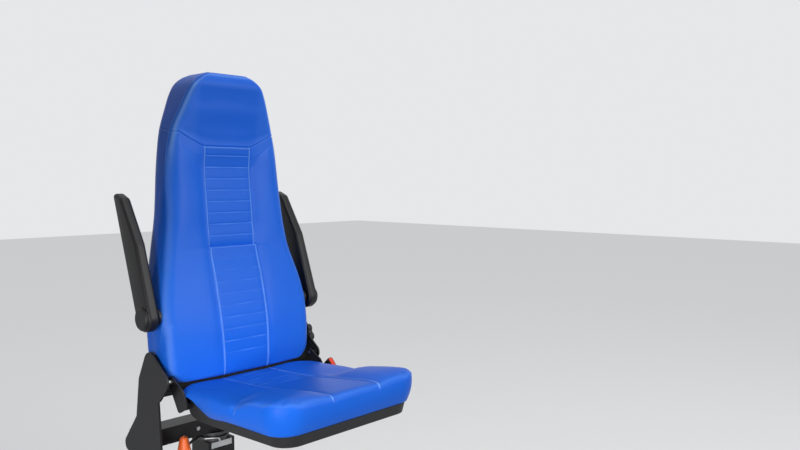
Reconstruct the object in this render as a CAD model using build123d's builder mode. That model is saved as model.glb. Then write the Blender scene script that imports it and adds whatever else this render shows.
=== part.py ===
"""Tip-up attendant seat for a vehicle: a column with a turntable, a carrier with two cheeks,
a cushion that tips up, a reclining backrest and two fold-up armrests.

The seat faces -Y, its own left is +X, +Z is up, and the origin is the middle of the floor bolts.
Every size is in millimetres. A side profile is drawn in the YZ plane, a plan in the XY plane.
"""
import os
from math import cos, radians, sin, tan

from build123d import *

os.makedirs("parts", exist_ok=True)

# Clearances
moving_gap = 5.0
soft_gap = 0.5
running_gap = 0.1

# Floor plate
plate_width = 380.0
plate_depth = 440.0
plate_thickness = 10.0
plate_corner = 30.0
bolt_span_x = 300.0
bolt_span_y = 360.0
bolt_hole = 11.0

# Column and its gussets
column_width = 94.0
column_wall = 6.0
column_y = 147.0
column_top = 217.0
gusset_reach = 60.0
gusset_height = 90.0
gusset_thickness = 8.0

# Blank plate near the top of the column's front
blank_width = 73.0
blank_height = 18.0
blank_thickness = 1.0
blank_drop = 12.0

# Turntable
lower_disc_diameter = 100.0
lower_disc_thickness = 11.0
turntable_gap = 1.0
sleeve_diameter = 84.0
sleeve_height = 7.0
upper_disc_diameter = 108.0
upper_disc_thickness = 8.0
spindle_diameter = 50.0

# Carrier beam and cheeks
beam_depth = 70.0
beam_height = 50.0
beam_wall = 4.0
beam_bolt_span = 154.0
beam_bolt = 13.0
beam_bolt_head = 5.5
cheek_thickness = 5.0
cover_depth = 5.0
cover_wall = 2.0
cover_margin = 7.0
cover_boss = 18.0

# Cross tube between the cheeks, behind the gap under the backrest
tube_diameter = 28.0
tube_wall = 2.5
tube_y = 84.0
tube_z = 412.0

# Tip-up pivot, with the ears on the pan that turn on it
tip_y = -34.0
tip_z = 472.0
tip_pin = 12.0
ear_gap = 2.0
ear_thickness = 4.0
ear_hub = 14.0

# Recline pivot and its lobed knob
recline_y = 38.0
recline_z = 514.0
recline_pin = 20.0
recline_hub = 25.0
recline_flange = 44.0
flange_thickness = 3.0
flange_root = 20.0
knob_diameter = 97.0
knob_depth = 18.0
knob_lobes = 8
lobe_diameter = 27.0
knob_bevel = 2.5

# Rounded corners of the cheek, as (Y, Z, radius), and its foot on the beam
throat_corner = (0.0, 432.0, 12.0)
rear_corner = (70.0, 452.0, 26.0)
heel_corner = (88.0, 336.0, 26.0)
foot_radius = 14.0
foot_front = 6.0

# Cushion in plan
cushion_half = 242.0
cushion_front = -517.0
cushion_rear = -22.0
cushion_corner = 73.0
panel_half = 81.0

# Side profile of the cushion and its pan, as (Y, Z): the pan's rim, the pan's underside,
# the top of the side parts with their raised front, and the lower centre panel
rim_line = [
    (-517.0, 415.0),
    (-281.0, 409.0),
    (-184.0, 400.0),
    (-148.0, 411.0),
    (-105.0, 441.0),
    (-22.0, 446.0),
]
floor_line = [
    (-517.0, 386.0),
    (-203.0, 375.0),
    (-115.0, 374.0),
    (-69.0, 391.0),
    (-22.0, 441.0),
]
top_line = [
    (-517.0, 486.0),
    (-490.0, 495.0),
    (-454.0, 497.0),
    (-359.0, 485.0),
    (-320.0, 476.0),
    (-300.0, 466.0),
    (-285.0, 463.0),
    (-22.0, 452.0),
]
panel_line = [
    (-517.0, 481.0),
    (-495.0, 488.0),
    (-454.0, 488.0),
    (-320.0, 470.0),
    (-285.0, 460.0),
    (-22.0, 449.0),
]
pan_inset = 3.0
pan_taper = 14.0
pan_wall = 3.0
past = 20.0

# Hinge ear, as rounded corners (Y, Z, radius), and its foot on the side of the pan
ear_corners = [
    (-104.0, 420.0, 10.0),
    (-80.0, 452.0, 10.0),
    (-74.0, 404.0, 10.0),
]
ear_foot = [
    (-104.0, 420.0, 8.0),
    (-76.0, 406.0, 8.0),
    (-62.0, 424.0, 8.0),
]

# Backrest sections, from the bottom up. Each row is: height, half width, front, rear,
# radius of the front corners, radius of the rear corners
back_rows = [
    (460.0, 222.0, -30.0, 86.0, 26.0, 20.0),
    (475.0, 238.0, -32.0, 89.0, 27.0, 20.0),
    (500.0, 248.0, -34.0, 92.0, 28.0, 20.0),
    (575.0, 255.0, -30.0, 95.0, 30.0, 24.0),
    (640.0, 257.0, -20.0, 99.0, 30.0, 26.0),
    (700.0, 251.0, -6.0, 107.0, 30.0, 28.0),
    (830.0, 222.0, 25.0, 137.0, 30.0, 36.0),
    (930.0, 206.0, 34.0, 146.0, 28.0, 42.0),
    (1060.0, 197.0, 46.0, 150.0, 26.0, 44.0),
    (1160.0, 180.0, 48.0, 151.0, 26.0, 42.0),
    (1240.0, 151.0, 35.0, 150.0, 24.0, 46.0),
    (1280.0, 133.0, 28.0, 148.0, 22.0, 40.0),
    (1305.0, 117.0, 24.0, 148.0, 20.0, 36.0),
    (1326.0, 90.0, 30.0, 142.0, 18.0, 28.0),
    (1338.0, 60.0, 44.0, 130.0, 14.0, 20.0),
]
shell_thickness = 3.5
shell_rim = 12.0

# Armrests, folded up, as rounded corners (along the arm, forward from its middle line, radius)
arm_y = 22.0
arm_z = 645.0
arm_lean = 20.0
arm_width = 32.0
arm_corners = [
    (0.0, 0.0, 37.0),
    (200.0, 9.0, 30.0),
    (338.0, -7.0, 16.0),
    (361.0, -24.0, 10.0),
]
arm_edge = 5.0
arm_pin = 20.0
arm_flange = 48.0
cap_thickness = 7.0
cap_bevel = 4.0

# Belt buckle on its stalk, as (Y, Z): the bolt, the stalk's end and the buckle's tip
stalk_foot = (23.0, 374.0)
stalk_end = (-49.0, 391.0)
buckle_tip = (-109.0, 446.0)
stalk_width = 30.0
stalk_thickness = 6.0
stalk_gap = 2.0
stalk_boss = 38.0
stalk_bolt = 18.0
stalk_bolt_head = 7.0
buckle_width = 36.0
buckle_depth = 20.0
buckle_corner = 5.0
buckle_wall = 3.0
button_sink = 10.0
button_stand = 2.0

# Turntable lever with an upright grip, and a bent latch wire, as (X, Y) from the turntable's axis
lever_diameter = 8.0
lever_route = [(-40.0, -13.0), (-100.0, -47.0), (-155.0, -87.0)]
lever_bend = 12.0
grip_foot = 40.0
grip_top = 22.0
grip_height = 44.0
grip_drop = 8.0
grip_bevel = 6.0
latch_diameter = 5.0
latch_route = [(-36.0, -18.0), (-61.0, -43.0), (-22.0, -70.0)]
latch_drop = 9.0
latch_bend = 6.0


def back_half_at(height):
    """The backrest's half width at a height, between the two rows beside it."""
    for lower, upper in zip(back_rows, back_rows[1:]):
        if lower[0] <= height <= upper[0]:
            share = (height - lower[0]) / (upper[0] - lower[0])
            return lower[1] + share * (upper[1] - lower[1])
    return max(row[1] for row in back_rows)


# Places worked out from the sizes above
shell_offset = shell_thickness + soft_gap
hinge_face = back_half_at(recline_z + recline_hub)
ear_inner = cushion_half + ear_gap
ear_outer = ear_inner + ear_thickness
cheek_inner = max(ear_outer, hinge_face + shell_offset) + moving_gap
cheek_outer = cheek_inner + cheek_thickness
cover_outer = cheek_outer + cover_depth
back_half = max(row[1] for row in back_rows)
arm_inner = back_half + shell_offset + moving_gap + soft_gap
sleeve_z = column_top + lower_disc_thickness + turntable_gap
upper_disc_z = sleeve_z + sleeve_height
beam_z = upper_disc_z + upper_disc_thickness
beam_front = column_y - beam_depth / 2
beam_rear = column_y + beam_depth / 2
sides = (("left", 1), ("right", -1))


# Floor plate with four bolt holes
with BuildPart() as base_plate:
    with BuildSketch():
        RectangleRounded(plate_width, plate_depth, plate_corner)
        with GridLocations(bolt_span_x, bolt_span_y, 2, 2):
            Circle(bolt_hole / 2, mode=Mode.SUBTRACT)
    extrude(amount=plate_thickness)
export_step(base_plate.part, "parts/base_plate.step")

# Square column with a cap, and a gusset at its front and on either side
column_inner = column_width - 2 * column_wall
with BuildPart() as column:
    with BuildSketch(Plane.XY.offset(plate_thickness)):
        with Locations((0, column_y)):
            Rectangle(column_width, column_width)
            Rectangle(column_inner, column_inner, mode=Mode.SUBTRACT)
    extrude(amount=column_top - plate_thickness)
    with BuildSketch(Plane.XY.offset(column_top - column_wall)):
        with Locations((0, column_y)):
            Rectangle(column_width, column_width)
    extrude(amount=column_wall)
    for reach_x, reach_y in ((1, 0), (-1, 0), (0, -1)):
        gusset_plane = Plane(
            origin=(0, column_y, plate_thickness),
            x_dir=(reach_x, reach_y, 0),
            z_dir=(reach_y, -reach_x, 0),
        )
        with BuildSketch(gusset_plane):
            with BuildLine():
                Polyline(
                    (column_width / 2, 0),
                    (column_width / 2 + gusset_reach, 0),
                    (column_width / 2, gusset_height),
                    close=True,
                )
            make_face()
        extrude(amount=gusset_thickness / 2, both=True)
export_step(column.part, "parts/column.step")

# Blank plate
blank_y = column_y - column_width / 2 - blank_thickness / 2
with BuildPart() as blank_plate:
    with Locations((0, blank_y, column_top - blank_drop)):
        Box(blank_width, blank_thickness, blank_height)
export_step(blank_plate.part, "parts/blank_plate.step")

# Turntable: the lower disc carries a spindle, and the upper disc turns on it
with BuildPart() as turntable_lower:
    with BuildSketch(Plane.XY.offset(column_top)):
        with Locations((0, column_y)):
            Circle(lower_disc_diameter / 2)
    extrude(amount=lower_disc_thickness)
    with BuildSketch(Plane.XY.offset(column_top)):
        with Locations((0, column_y)):
            Circle(spindle_diameter / 2)
    extrude(amount=beam_z - column_top - turntable_gap)
export_step(turntable_lower.part, "parts/turntable_lower.step")

with BuildPart() as turntable_upper:
    with BuildSketch(Plane.XY.offset(sleeve_z)):
        with Locations((0, column_y)):
            Circle(sleeve_diameter / 2)
    extrude(amount=sleeve_height)
    with BuildSketch(Plane.XY.offset(upper_disc_z)):
        with Locations((0, column_y)):
            Circle(upper_disc_diameter / 2)
    extrude(amount=upper_disc_thickness)
    with BuildSketch(Plane.XY.offset(sleeve_z)):
        with Locations((0, column_y)):
            Circle(spindle_diameter / 2 + running_gap)
    extrude(amount=beam_z - sleeve_z, mode=Mode.SUBTRACT)
export_step(turntable_upper.part, "parts/turntable_upper.step")

# Carrier beam: a box section from cheek to cheek
with BuildPart() as carrier_beam:
    with BuildSketch(Plane.YZ.offset(-cheek_inner)):
        with Locations((column_y, beam_z + beam_height / 2)):
            Rectangle(beam_depth, beam_height)
            Rectangle(beam_depth - 2 * beam_wall, beam_height - 2 * beam_wall, mode=Mode.SUBTRACT)
    extrude(amount=2 * cheek_inner)
export_step(carrier_beam.part, "parts/carrier_beam.step")


def hull_plate(start, thickness, corners, grow=0.0):
    """A plate parallel to the YZ plane, drawn tight round corners given as (Y, Z, radius)."""
    with BuildPart() as plate:
        with BuildSketch(Plane.YZ.offset(start)):
            for y, z, radius in corners:
                with Locations((y, z)):
                    Circle(radius + grow)
            make_hull()
        extrude(amount=thickness)
    return plate.part


# Cheeks: the web stands on the beam's end, and the head reaches forward to the tip-up pin
recline_corner = (recline_y, recline_z, recline_hub)
foot_z = beam_z + foot_radius
cheek_shapes = (
    [recline_corner, rear_corner, heel_corner, (foot_front, foot_z, foot_radius)],
    [recline_corner, (tip_y, tip_z, ear_hub), throat_corner, rear_corner],
    [heel_corner, (beam_rear - foot_radius, foot_z, foot_radius), (foot_front, foot_z, foot_radius)],
)
for name, sign in sides:
    with BuildPart() as cheek:
        for shape in cheek_shapes:
            add(hull_plate(sign * cheek_inner, sign * cheek_thickness, shape))
        with BuildSketch(Plane.YZ.offset(sign * cheek_inner)):
            with Locations((tip_y, tip_z)):
                Circle(tip_pin / 2)
            with Locations((recline_y, recline_z)):
                Circle(recline_pin / 2 + running_gap)
        extrude(amount=sign * cheek_thickness, mode=Mode.SUBTRACT)
    export_step(cheek.part, f"parts/cheek_{name}.step")

# Cross tube between the cheeks
with BuildPart() as cross_tube:
    with BuildSketch(Plane.YZ.offset(-cheek_inner)):
        with Locations((tube_y, tube_z)):
            Circle(tube_diameter / 2)
            Circle(tube_diameter / 2 - tube_wall, mode=Mode.SUBTRACT)
    extrude(amount=2 * cheek_inner)
export_step(cross_tube.part, "parts/cross_tube.step")

# Plastic covers on the cheeks, open towards them and screwed on at three bosses
cover_screws = [
    (tip_y, tip_z),
    (rear_corner[0], rear_corner[1]),
    (foot_front + foot_radius, foot_z + foot_radius),
]
for name, sign in sides:
    with BuildPart() as cover:
        for shape in cheek_shapes:
            add(hull_plate(sign * cheek_outer, sign * cover_depth, shape, cover_margin))
        for shape in cheek_shapes:
            add(
                hull_plate(
                    sign * cheek_outer,
                    sign * (cover_depth - cover_wall),
                    shape,
                    cover_margin - cover_wall,
                ),
                mode=Mode.SUBTRACT,
            )
        with BuildSketch(Plane.YZ.offset(sign * cheek_outer)):
            with Locations(*cover_screws):
                Circle(cover_boss / 2)
        extrude(amount=sign * (cover_depth - cover_wall))
    export_step(cover.part, f"parts/cheek_cover_{name}.step")

# Pins of the tip-up hinge, held in the cheeks
for name, sign in sides:
    with BuildPart() as hinge_pin:
        with BuildSketch(Plane.YZ.offset(sign * ear_inner)):
            with Locations((tip_y, tip_z)):
                Circle(tip_pin / 2)
        extrude(amount=sign * (cheek_outer - ear_inner))
    export_step(hinge_pin.part, f"parts/hinge_pin_{name}.step")

# Lobed recline knob on the left
with BuildPart() as recline_knob:
    with BuildSketch(Plane.YZ.offset(cover_outer)):
        with Locations((recline_y, recline_z)):
            Circle(knob_diameter / 2 - lobe_diameter / 4)
            with PolarLocations((knob_diameter - lobe_diameter) / 2, knob_lobes):
                Circle(lobe_diameter / 2)
    extrude(amount=knob_depth)
    chamfer(recline_knob.faces().sort_by(Axis.X)[-1].edges(), knob_bevel)
export_step(recline_knob.part, "parts/recline_knob.step")


def plan_block(inset, low, high, taper=0):
    """The cushion's outline in plan, drawn in by inset, from high down to low."""
    with BuildPart() as block:
        with BuildSketch(Plane.XY.offset(high)):
            with Locations((0, (cushion_front + cushion_rear) / 2)):
                RectangleRounded(
                    2 * (cushion_half - inset),
                    cushion_rear - cushion_front - 2 * inset,
                    cushion_corner - inset,
                )
        extrude(amount=low - high, taper=taper)
    return block.part


def band(lower, upper, half):
    """A slab across the seat, between two lines in the YZ plane."""
    with BuildPart() as slab:
        with BuildSketch(Plane.YZ.offset(-half)):
            with BuildLine():
                Polyline(*lower, *reversed(upper), close=True)
            make_face()
        extrude(amount=2 * half)
    return slab.part


def across(line, lift=0.0):
    """A side profile, moved up and carried on past both ends of the cushion."""
    ends = [(cushion_front - past, line[0][1]), *line, (cushion_rear + past, line[-1][1])]
    return [(y, z + lift) for y, z in ends]


# Pan under the cushion: a thin tray with sloping sides
slab_half = cushion_half + past
pan_low = min(z for y, z in floor_line) - past
pan_high = max(z for y, z in rim_line) + past
cushion_high = max(z for y, z in top_line) + past
pan_side = plan_block(pan_inset, pan_low, pan_high, pan_taper)
pan_body = pan_side & band(across(floor_line), across(rim_line), slab_half)
pan_pocket = plan_block(pan_inset + pan_wall, pan_low, pan_high, pan_taper) & band(
    across(floor_line, pan_wall), across(rim_line, past), slab_half
)
with BuildPart() as cushion_pan:
    add(pan_body)
    add(pan_pocket, mode=Mode.SUBTRACT)
export_step(cushion_pan.part, "parts/cushion_pan.step")

# Seat cushion: a wide part above the rim, a plug inside the pan and a lower centre panel
wide = plan_block(0, pan_low, cushion_high) & band(
    across(rim_line, soft_gap), across(top_line), slab_half
)
plug = plan_block(pan_inset + pan_wall + soft_gap, pan_low, pan_high, pan_taper) & band(
    across(floor_line, pan_wall + soft_gap), across(rim_line, pan_wall), slab_half
)
above_panel = band(across(panel_line), across(top_line, past), panel_half)
with BuildPart() as seat_cushion:
    add(wide)
    add(plug)
    add(above_panel, mode=Mode.SUBTRACT)
export_step(seat_cushion.part, "parts/seat_cushion.step")

# Hinge ears: flat plates beside the cushion, with a foot that meets the sloping side of the pan
foot_length = pan_inset + ear_gap + (pan_high - pan_low) * tan(radians(pan_taper))
for name, sign in sides:
    with BuildPart() as hinge_ear:
        add(hull_plate(sign * ear_inner, sign * ear_thickness, [*ear_corners, (tip_y, tip_z, ear_hub)]))
        with BuildSketch(Plane.YZ.offset(sign * ear_inner)):
            with Locations((tip_y, tip_z)):
                Circle(tip_pin / 2 + running_gap)
        extrude(amount=sign * ear_thickness, mode=Mode.SUBTRACT)
        add(hull_plate(sign * ear_inner, -sign * foot_length, ear_foot))
        add(pan_side, mode=Mode.SUBTRACT)
    export_step(hinge_ear.part, f"parts/hinge_ear_{name}.step")


def back_form(grow):
    """The backrest's outer form, grown by a wall."""
    with BuildPart() as form:
        for row in back_rows:
            z, half, front, rear, front_radius, rear_radius = row
            level = z
            if row is back_rows[0]:
                level = z - grow
            if row is back_rows[-1]:
                level = z + grow
            with BuildSketch(Plane.XY.offset(level)) as section:
                with Locations((0, (front + rear) / 2)):
                    Rectangle(2 * (half + grow), rear - front + 2 * grow)
                fillet(section.vertices().group_by(Axis.Y)[0], front_radius + grow)
                fillet(section.vertices().group_by(Axis.Y)[-1], rear_radius + grow)
        loft(ruled=True)
    return form.part


# Back cushion with an integral head cushion
with BuildPart() as back_cushion:
    add(back_form(0))
export_step(back_cushion.part, "parts/back_cushion.step")

# Back shell: a rear wall and a rim round the cushion
back_low = back_rows[0][0] - past
back_high = back_rows[-1][0] + past
back_behind = max(row[3] for row in back_rows) + past
rim_edge = [(row[3] - shell_rim, row[0]) for row in back_rows]
with BuildPart() as back_shell:
    add(back_form(shell_offset))
    add(back_form(soft_gap), mode=Mode.SUBTRACT)
    with BuildSketch(Plane.YZ.offset(-back_half - past)):
        with BuildLine():
            Polyline(
                (rim_edge[0][0], back_low),
                *rim_edge,
                (rim_edge[-1][0], back_high),
                (back_behind, back_high),
                (back_behind, back_low),
                close=True,
            )
        make_face()
    extrude(amount=2 * (back_half + past), mode=Mode.INTERSECT)
export_step(back_shell.part, "parts/back_shell.step")


def side_pivot(sign, centre, face, flange, pin, length):
    """A flange on the side of the back cushion with a pin that stands out from it."""
    with BuildPart() as pivot:
        with BuildSketch(Plane.YZ.offset(sign * (face - flange_root))):
            with Locations(centre):
                Circle(flange / 2)
        extrude(amount=sign * (flange_root + flange_thickness))
        with BuildSketch(Plane.YZ.offset(sign * (face - flange_root))):
            with Locations(centre):
                Circle(pin / 2)
        extrude(amount=sign * (length - face + flange_root))
        add(back_cushion.part, mode=Mode.SUBTRACT)
    return pivot.part


# Pivots of the recline joint, which turn in the cheeks, and of the armrests
arm_outer = arm_inner + arm_width
for name, sign in sides:
    recline_pivot = side_pivot(
        sign, (recline_y, recline_z), hinge_face, recline_flange, recline_pin, cheek_outer
    )
    export_step(recline_pivot, f"parts/recline_pivot_{name}.step")
    arm_pivot = side_pivot(
        sign, (arm_y, arm_z), back_half, arm_flange, arm_pin, arm_outer - running_gap
    )
    export_step(arm_pivot, f"parts/arm_pivot_{name}.step")

# Armrests, with a bevelled cap over each pivot
lean = radians(arm_lean)
arm_places = [
    (arm_y + along * sin(lean) - forward * cos(lean), arm_z + along * cos(lean) + forward * sin(lean), radius)
    for along, forward, radius in arm_corners
]
for name, sign in sides:
    with BuildPart() as armrest:
        add(hull_plate(sign * arm_inner, sign * arm_width, arm_places))
        chamfer(armrest.faces().sort_by(Axis.X)[0].edges(), arm_edge)
        chamfer(armrest.faces().sort_by(Axis.X)[-1].edges(), arm_edge)
        with BuildSketch(Plane.YZ.offset(sign * arm_inner)):
            with Locations((arm_y, arm_z)):
                Circle(arm_pin / 2 + running_gap)
        extrude(amount=sign * arm_width, mode=Mode.SUBTRACT)
    export_step(armrest.part, f"parts/armrest_{name}.step")
    with BuildPart() as arm_cap:
        with BuildSketch(Plane.YZ.offset(sign * arm_outer)):
            with Locations((arm_y, arm_z)):
                Circle(arm_corners[0][2] - arm_edge)
        extrude(amount=sign * cap_thickness)
        chamfer(arm_cap.faces().sort_by(Axis((0, 0, 0), (sign, 0, 0)))[-1].edges(), cap_bevel)
    export_step(arm_cap.part, f"parts/arm_cap_{name}.step")

# Buckle on a stalk, bolted to the left cheek's cover
stalk_x = cover_outer + stalk_gap
with BuildPart() as buckle_stalk:
    with BuildSketch(Plane.YZ.offset(stalk_x)):
        for place in (stalk_foot, stalk_end):
            with Locations(place):
                Circle(stalk_width / 2)
        make_hull()
    extrude(amount=stalk_thickness)
    with BuildSketch(Plane.YZ.offset(cover_outer)):
        with Locations(stalk_foot):
            Circle(stalk_boss / 2)
    extrude(amount=stalk_gap)
    with BuildSketch(Plane.YZ.offset(stalk_x + stalk_thickness)):
        with Locations(stalk_foot):
            RegularPolygon(stalk_bolt / 2, 6)
    extrude(amount=stalk_bolt_head)
export_step(buckle_stalk.part, "parts/buckle_stalk.step")

buckle_run = Vector(0, buckle_tip[0] - stalk_end[0], buckle_tip[1] - stalk_end[1])
buckle_length = buckle_run.length
buckle_plane = Plane(
    origin=(stalk_x + stalk_thickness / 2, stalk_end[0], stalk_end[1]), x_dir=(1, 0, 0), z_dir=buckle_run
)
with BuildPart() as buckle:
    with BuildSketch(buckle_plane):
        RectangleRounded(buckle_depth, buckle_width, buckle_corner)
    extrude(amount=buckle_length)
    with BuildSketch(buckle_plane.offset(buckle_length - button_sink)):
        Rectangle(buckle_depth - 2 * buckle_wall, buckle_width - 2 * buckle_wall)
    extrude(amount=button_sink, mode=Mode.SUBTRACT)
    add(buckle_stalk.part, mode=Mode.SUBTRACT)
export_step(buckle.part, "parts/buckle.step")

with BuildPart() as buckle_button:
    with BuildSketch(buckle_plane.offset(buckle_length - button_sink)):
        Rectangle(
            buckle_depth - 2 * (buckle_wall + running_gap), buckle_width - 2 * (buckle_wall + running_gap)
        )
    extrude(amount=button_sink + button_stand)
export_step(buckle_button.part, "parts/buckle_button.step")

# Hexagon bolts on the front of the beam
for name, sign in sides:
    bolt_plane = Plane(
        origin=(sign * beam_bolt_span / 2, beam_front, beam_z + beam_height / 2),
        x_dir=(1, 0, 0),
        z_dir=(0, -1, 0),
    )
    with BuildPart() as beam_screw:
        with BuildSketch(bolt_plane):
            RegularPolygon(beam_bolt / 2, 6)
        extrude(amount=beam_bolt_head)
    export_step(beam_screw.part, f"parts/beam_bolt_{name}.step")


def rod(route, diameter, bend):
    """A round rod along a route with rounded bends, less the turntable it starts in."""
    with BuildPart() as bar:
        with BuildLine():
            FilletPolyline(*route, radius=bend)
        with BuildSketch(Plane(origin=route[0], z_dir=Vector(*route[1]) - Vector(*route[0]))):
            Circle(diameter / 2)
        sweep()
        add(turntable_upper.part, mode=Mode.SUBTRACT)
    return bar.part


# Turntable lever with an upright grip on its end
lever_z = upper_disc_z + upper_disc_thickness / 2
swivel_lever = rod([(x, column_y + y, lever_z) for x, y in lever_route], lever_diameter, lever_bend)
export_step(swivel_lever, "parts/swivel_lever.step")

grip_x = lever_route[-1][0]
grip_y = column_y + lever_route[-1][1]
with BuildPart() as lever_grip:
    with Locations((grip_x, grip_y, lever_z - grip_drop + grip_height / 2)):
        Cone(grip_foot / 2, grip_top / 2, grip_height)
    chamfer(lever_grip.faces().sort_by(Axis.Z)[-1].edges(), grip_bevel)
    add(swivel_lever, mode=Mode.SUBTRACT)
export_step(lever_grip.part, "parts/lever_grip.step")

# Latch wire round the corner of the turntable, bent down at its end
latch_z = upper_disc_z - latch_diameter / 2
latch_points = [(x, column_y + y, latch_z) for x, y in latch_route]
latch_points.append((latch_points[-1][0], latch_points[-1][1], latch_z - latch_drop))
latch_wire = rod(latch_points, latch_diameter, latch_bend)
export_step(latch_wire, "parts/latch_wire.step")
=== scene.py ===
# %% [markdown]
# # A tip-up attendant seat
# This lesson dresses a finished CAD frame: a column with a turntable, a carrier with two cheeks,
# a blue cushion that tips up, a reclining back with an integral head cushion, and two armrests.
# The CAD model fixes every size, so this script only makes skins, seams and finishes.

# %% Load the frame
from math import cos, pi, radians, sin

import bpy
import numpy as np
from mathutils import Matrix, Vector
from mathutils.bvhtree import BVHTree


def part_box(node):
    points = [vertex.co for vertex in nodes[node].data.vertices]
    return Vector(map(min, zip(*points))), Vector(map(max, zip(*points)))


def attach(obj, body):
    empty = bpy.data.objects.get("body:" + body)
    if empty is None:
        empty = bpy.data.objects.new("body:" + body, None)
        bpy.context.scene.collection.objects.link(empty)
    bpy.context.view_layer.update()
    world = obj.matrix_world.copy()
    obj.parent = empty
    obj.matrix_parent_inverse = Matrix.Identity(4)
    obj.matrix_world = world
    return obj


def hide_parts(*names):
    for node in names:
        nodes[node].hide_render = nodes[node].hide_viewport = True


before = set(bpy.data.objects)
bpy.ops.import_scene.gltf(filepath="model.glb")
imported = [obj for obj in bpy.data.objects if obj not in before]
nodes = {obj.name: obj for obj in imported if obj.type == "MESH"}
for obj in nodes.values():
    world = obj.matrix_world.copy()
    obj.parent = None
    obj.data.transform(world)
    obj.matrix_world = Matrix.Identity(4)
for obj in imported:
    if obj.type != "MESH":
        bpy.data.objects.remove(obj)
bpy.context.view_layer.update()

# %% [markdown]
# The camera comes first, because every later choice is judged through it. Its place and its
# direction were fitted to the photograph's straight edges, so they are written as plain numbers:
# a yaw of 47 degrees from +Y towards +X, and a pitch of 3.4 degrees down.

# %% Camera
camera_data = bpy.data.cameras.new("camera")
camera_data.lens = 34.15
camera_data.sensor_width = 36.0
camera = bpy.data.objects.new("camera", camera_data)
camera.location = (-1.3192, -1.8908, 1.0248)
camera.rotation_euler = (radians(90.0 - 3.4), 0.0, radians(-47.0))
bpy.context.scene.collection.objects.link(camera)
bpy.context.scene.camera = camera
bpy.context.scene.view_settings.view_transform = "Standard"
print("camera looks along", tuple(round(v, 3) for v in camera.rotation_euler))

# %% [markdown]
# Colours are given in the usual 0 to 255 steps, but shaders want linear light.
# One small helper does the conversion everywhere.

# %% Colour helper
def tint(red, green, blue):
    """A screen colour in 0 to 255 steps, as linear light with full opacity."""
    steps = [value / 255 for value in (red, green, blue)]
    linear = [s / 12.92 if s <= 0.04045 else ((s + 0.055) / 1.055) ** 2.4 for s in steps]
    return (*linear, 1.0)


print("seat blue in linear light:", [round(v, 3) for v in tint(20, 92, 204)])

# %% [markdown]
# The stage is a pale floor under a pale sky. A white background could come from more light,
# but that would wash out the blue. So what the camera sees of the floor and the sky is partly
# their own glow, which lights nothing, and the seat keeps its shadow on the floor. A light
# path node tells the camera's own rays from the rays that carry light.

# %% Floor and world
def seen_rays(tree):
    """A socket that is 1 for rays of the camera, also by way of a gloss or a glass."""
    path = tree.nodes.new("ShaderNodeLightPath")
    gloss = tree.nodes.new("ShaderNodeMath")
    gloss.operation = "MAXIMUM"
    glass = tree.nodes.new("ShaderNodeMath")
    glass.operation = "MAXIMUM"
    tree.links.new(path.outputs["Is Camera Ray"], gloss.inputs[0])
    tree.links.new(path.outputs["Is Glossy Ray"], gloss.inputs[1])
    tree.links.new(gloss.outputs[0], glass.inputs[0])
    tree.links.new(path.outputs["Is Transmission Ray"], glass.inputs[1])
    return glass.outputs[0]


stage_half = 12.0
own_glow = 0.72
floor_mesh = bpy.data.meshes.new("floor")
signs = ((-1, -1), (1, -1), (1, 1), (-1, 1))
floor_corners = [(x * stage_half, y * stage_half, 0.0) for x, y in signs]
floor_mesh.from_pydata(floor_corners, [], [(0, 1, 2, 3)])
floor = bpy.data.objects.new("floor", floor_mesh)
bpy.context.scene.collection.objects.link(floor)
floor_finish = bpy.data.materials.new("pale floor")
floor_finish.use_nodes = True
floor_tree = floor_finish.node_tree
floor_tree.nodes.remove(floor_tree.nodes["Principled BSDF"])
grey_floor = floor_tree.nodes.new("ShaderNodeBsdfDiffuse")
grey_floor.inputs["Color"].default_value = tint(150, 151, 152)
pale_floor = floor_tree.nodes.new("ShaderNodeBsdfDiffuse")
pale_floor.inputs["Color"].default_value = tint(226, 227, 228)
floor_glow = floor_tree.nodes.new("ShaderNodeEmission")
floor_glow.inputs["Color"].default_value = tint(230, 231, 233)
seen_floor = floor_tree.nodes.new("ShaderNodeMixShader")
seen_floor.inputs["Fac"].default_value = own_glow
floor_mix = floor_tree.nodes.new("ShaderNodeMixShader")
floor_tree.links.new(pale_floor.outputs[0], seen_floor.inputs[1])
floor_tree.links.new(floor_glow.outputs[0], seen_floor.inputs[2])
floor_tree.links.new(seen_rays(floor_tree), floor_mix.inputs["Fac"])
floor_tree.links.new(grey_floor.outputs[0], floor_mix.inputs[1])
floor_tree.links.new(seen_floor.outputs[0], floor_mix.inputs[2])
floor_tree.links.new(floor_mix.outputs[0], floor_tree.nodes["Material Output"].inputs["Surface"])
floor_mesh.materials.append(floor_finish)

world = bpy.data.worlds.new("studio")
bpy.context.scene.world = world
world.use_nodes = True
sky_tree = world.node_tree
sky_tree.nodes.clear()
soft_light = sky_tree.nodes.new("ShaderNodeBackground")
soft_light.inputs["Color"].default_value = (0.94, 0.97, 1.0, 1.0)
soft_light.inputs["Strength"].default_value = 0.1
seen_sky = sky_tree.nodes.new("ShaderNodeBackground")
seen_sky.inputs["Color"].default_value = tint(230, 231, 233)
seen_sky.inputs["Strength"].default_value = 1.0
sky_mix = sky_tree.nodes.new("ShaderNodeMixShader")
sky_out = sky_tree.nodes.new("ShaderNodeOutputWorld")
sky_tree.links.new(seen_rays(sky_tree), sky_mix.inputs["Fac"])
sky_tree.links.new(soft_light.outputs[0], sky_mix.inputs[1])
sky_tree.links.new(seen_sky.outputs[0], sky_mix.inputs[2])
sky_tree.links.new(sky_mix.outputs[0], sky_out.inputs["Surface"])
print("stage: a floor of", 2 * stage_half, "m and a soft sky")
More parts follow.
